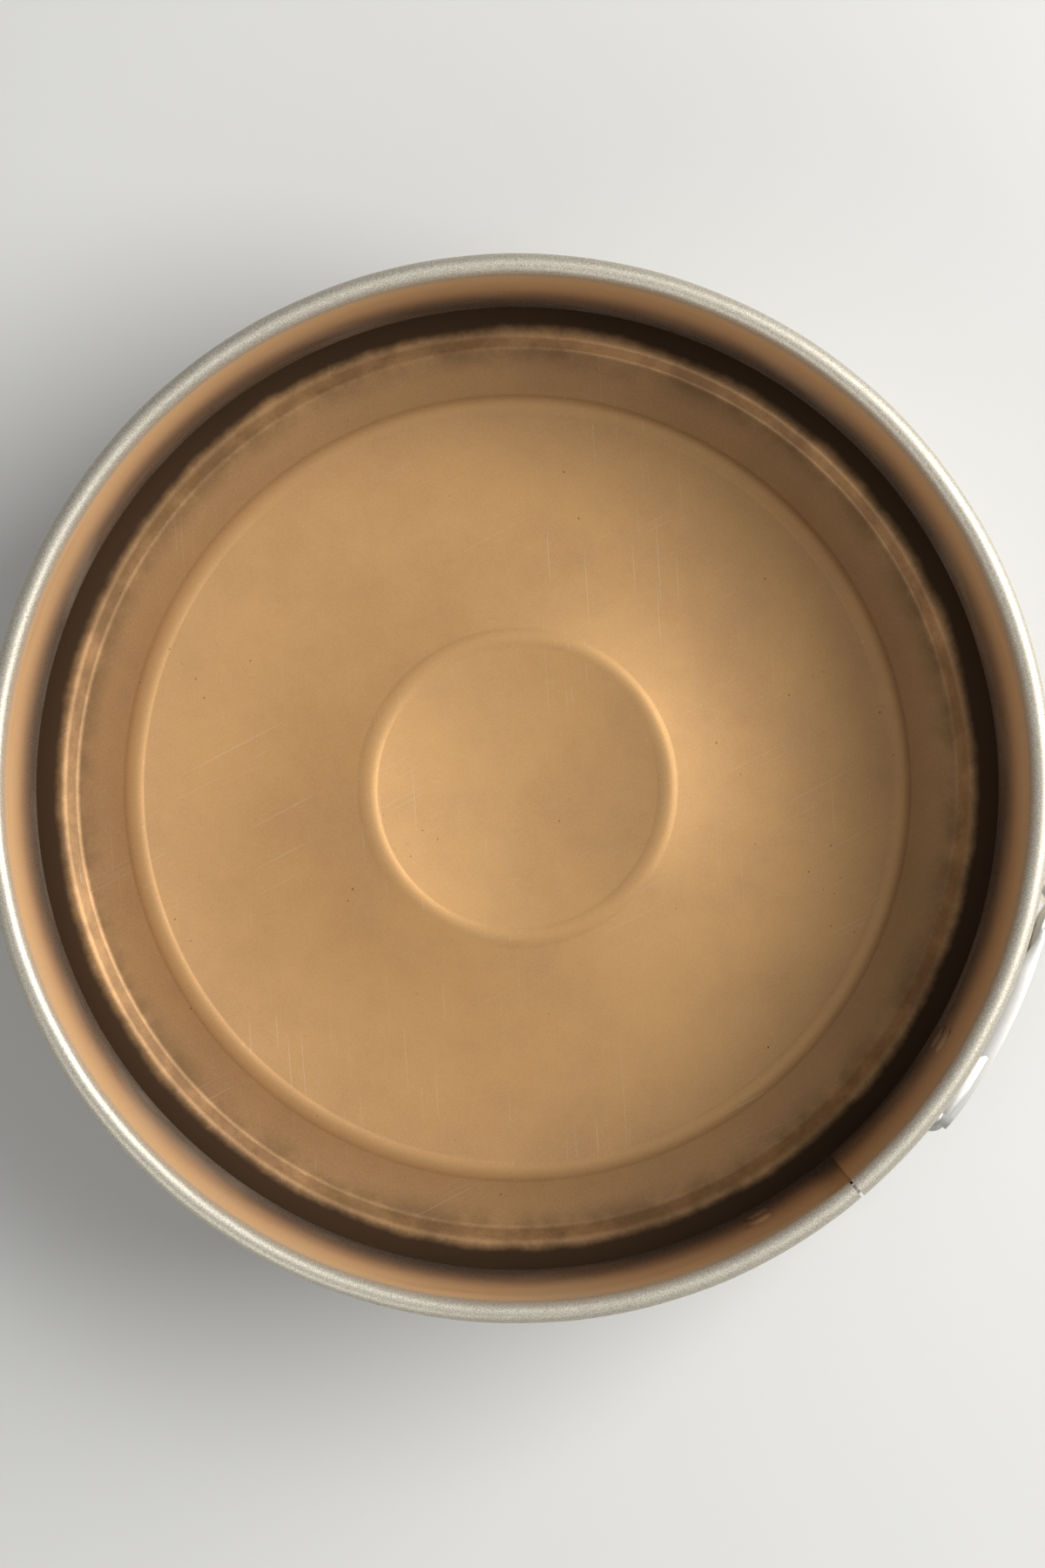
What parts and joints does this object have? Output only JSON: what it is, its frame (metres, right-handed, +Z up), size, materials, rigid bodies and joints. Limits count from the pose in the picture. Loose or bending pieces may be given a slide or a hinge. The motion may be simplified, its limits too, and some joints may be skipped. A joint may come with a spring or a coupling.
{
  "type": "springform pan",
  "caption": "Round springform cake pan: a sheet-steel ring that springs open at an over-centre latch and lifts off a loose pressed base plate.",
  "frame": {"origin": "on the pan's axis, at the flat underside of the base plate", "axes": "+Z up along the pan's axis, -Y to the front where the latch is, +X to the right seen from the front"},
  "size_m": [0.2414, 0.2463, 0.07],
  "materials": {
    "coated_steel": "champagne non-stick coating, satin, baked to a warmer gold inside",
    "base_steel": "champagne non-stick coating, darkened by baking",
    "latch_steel": "bright tumbled zinc-plated sheet",
    "wire_steel": "bright drawn wire",
    "rivet_steel": "satin, heads worn bright"
  },
  "bodies": {
    "base": {"base_plate": "base_steel"},
    "ring_fixed": {"ring_right": "coated_steel", "rim_wire_right": "wire_steel", "lever_bracket": "latch_steel", "lever_pin": "latch_steel", "bracket_rivet_upper": "rivet_steel", "bracket_rivet_lower": "rivet_steel"},
    "ring_springing": {"ring_left": "coated_steel", "rim_wire_left": "wire_steel", "catch_hook": "latch_steel", "catch_rivet_upper": "rivet_steel", "catch_rivet_lower": "rivet_steel"},
    "lever": {"lever": "latch_steel"},
    "bail": {"bail": "wire_steel"}
  },
  "joints": [
    {"name": "ring_lift", "type": "slide", "parent": "base", "child": "ring_fixed", "axis": [0, 0, 1], "range_m": [0, 0.09]},
    {"name": "lever_swing", "type": "hinge", "parent": "ring_fixed", "child": "lever", "pos_m": [0.01481, -0.12059, 0.03], "axis": [0, 0, -1], "range_deg": [0, 138]},
    {"name": "ring_spring", "type": "hinge", "parent": "ring_fixed", "child": "ring_springing", "pos_m": [-0.00956, 0.12143, 0.035], "axis": [0, 0, -1], "range_deg": [0, 2.81]},
    {"name": "bail_swing", "type": "hinge", "parent": "lever", "child": "bail", "pos_m": [0.02459, -0.11851, 0.03], "axis": [0, 0, 1], "range_deg": [0, 152.8]}
  ],
  "couplings": [
    {"joint": "ring_spring", "follows": "lever_swing", "ratio": 0.02},
    {"joint": "bail_swing", "follows": "lever_swing", "ratio": 1.1}
  ]
}
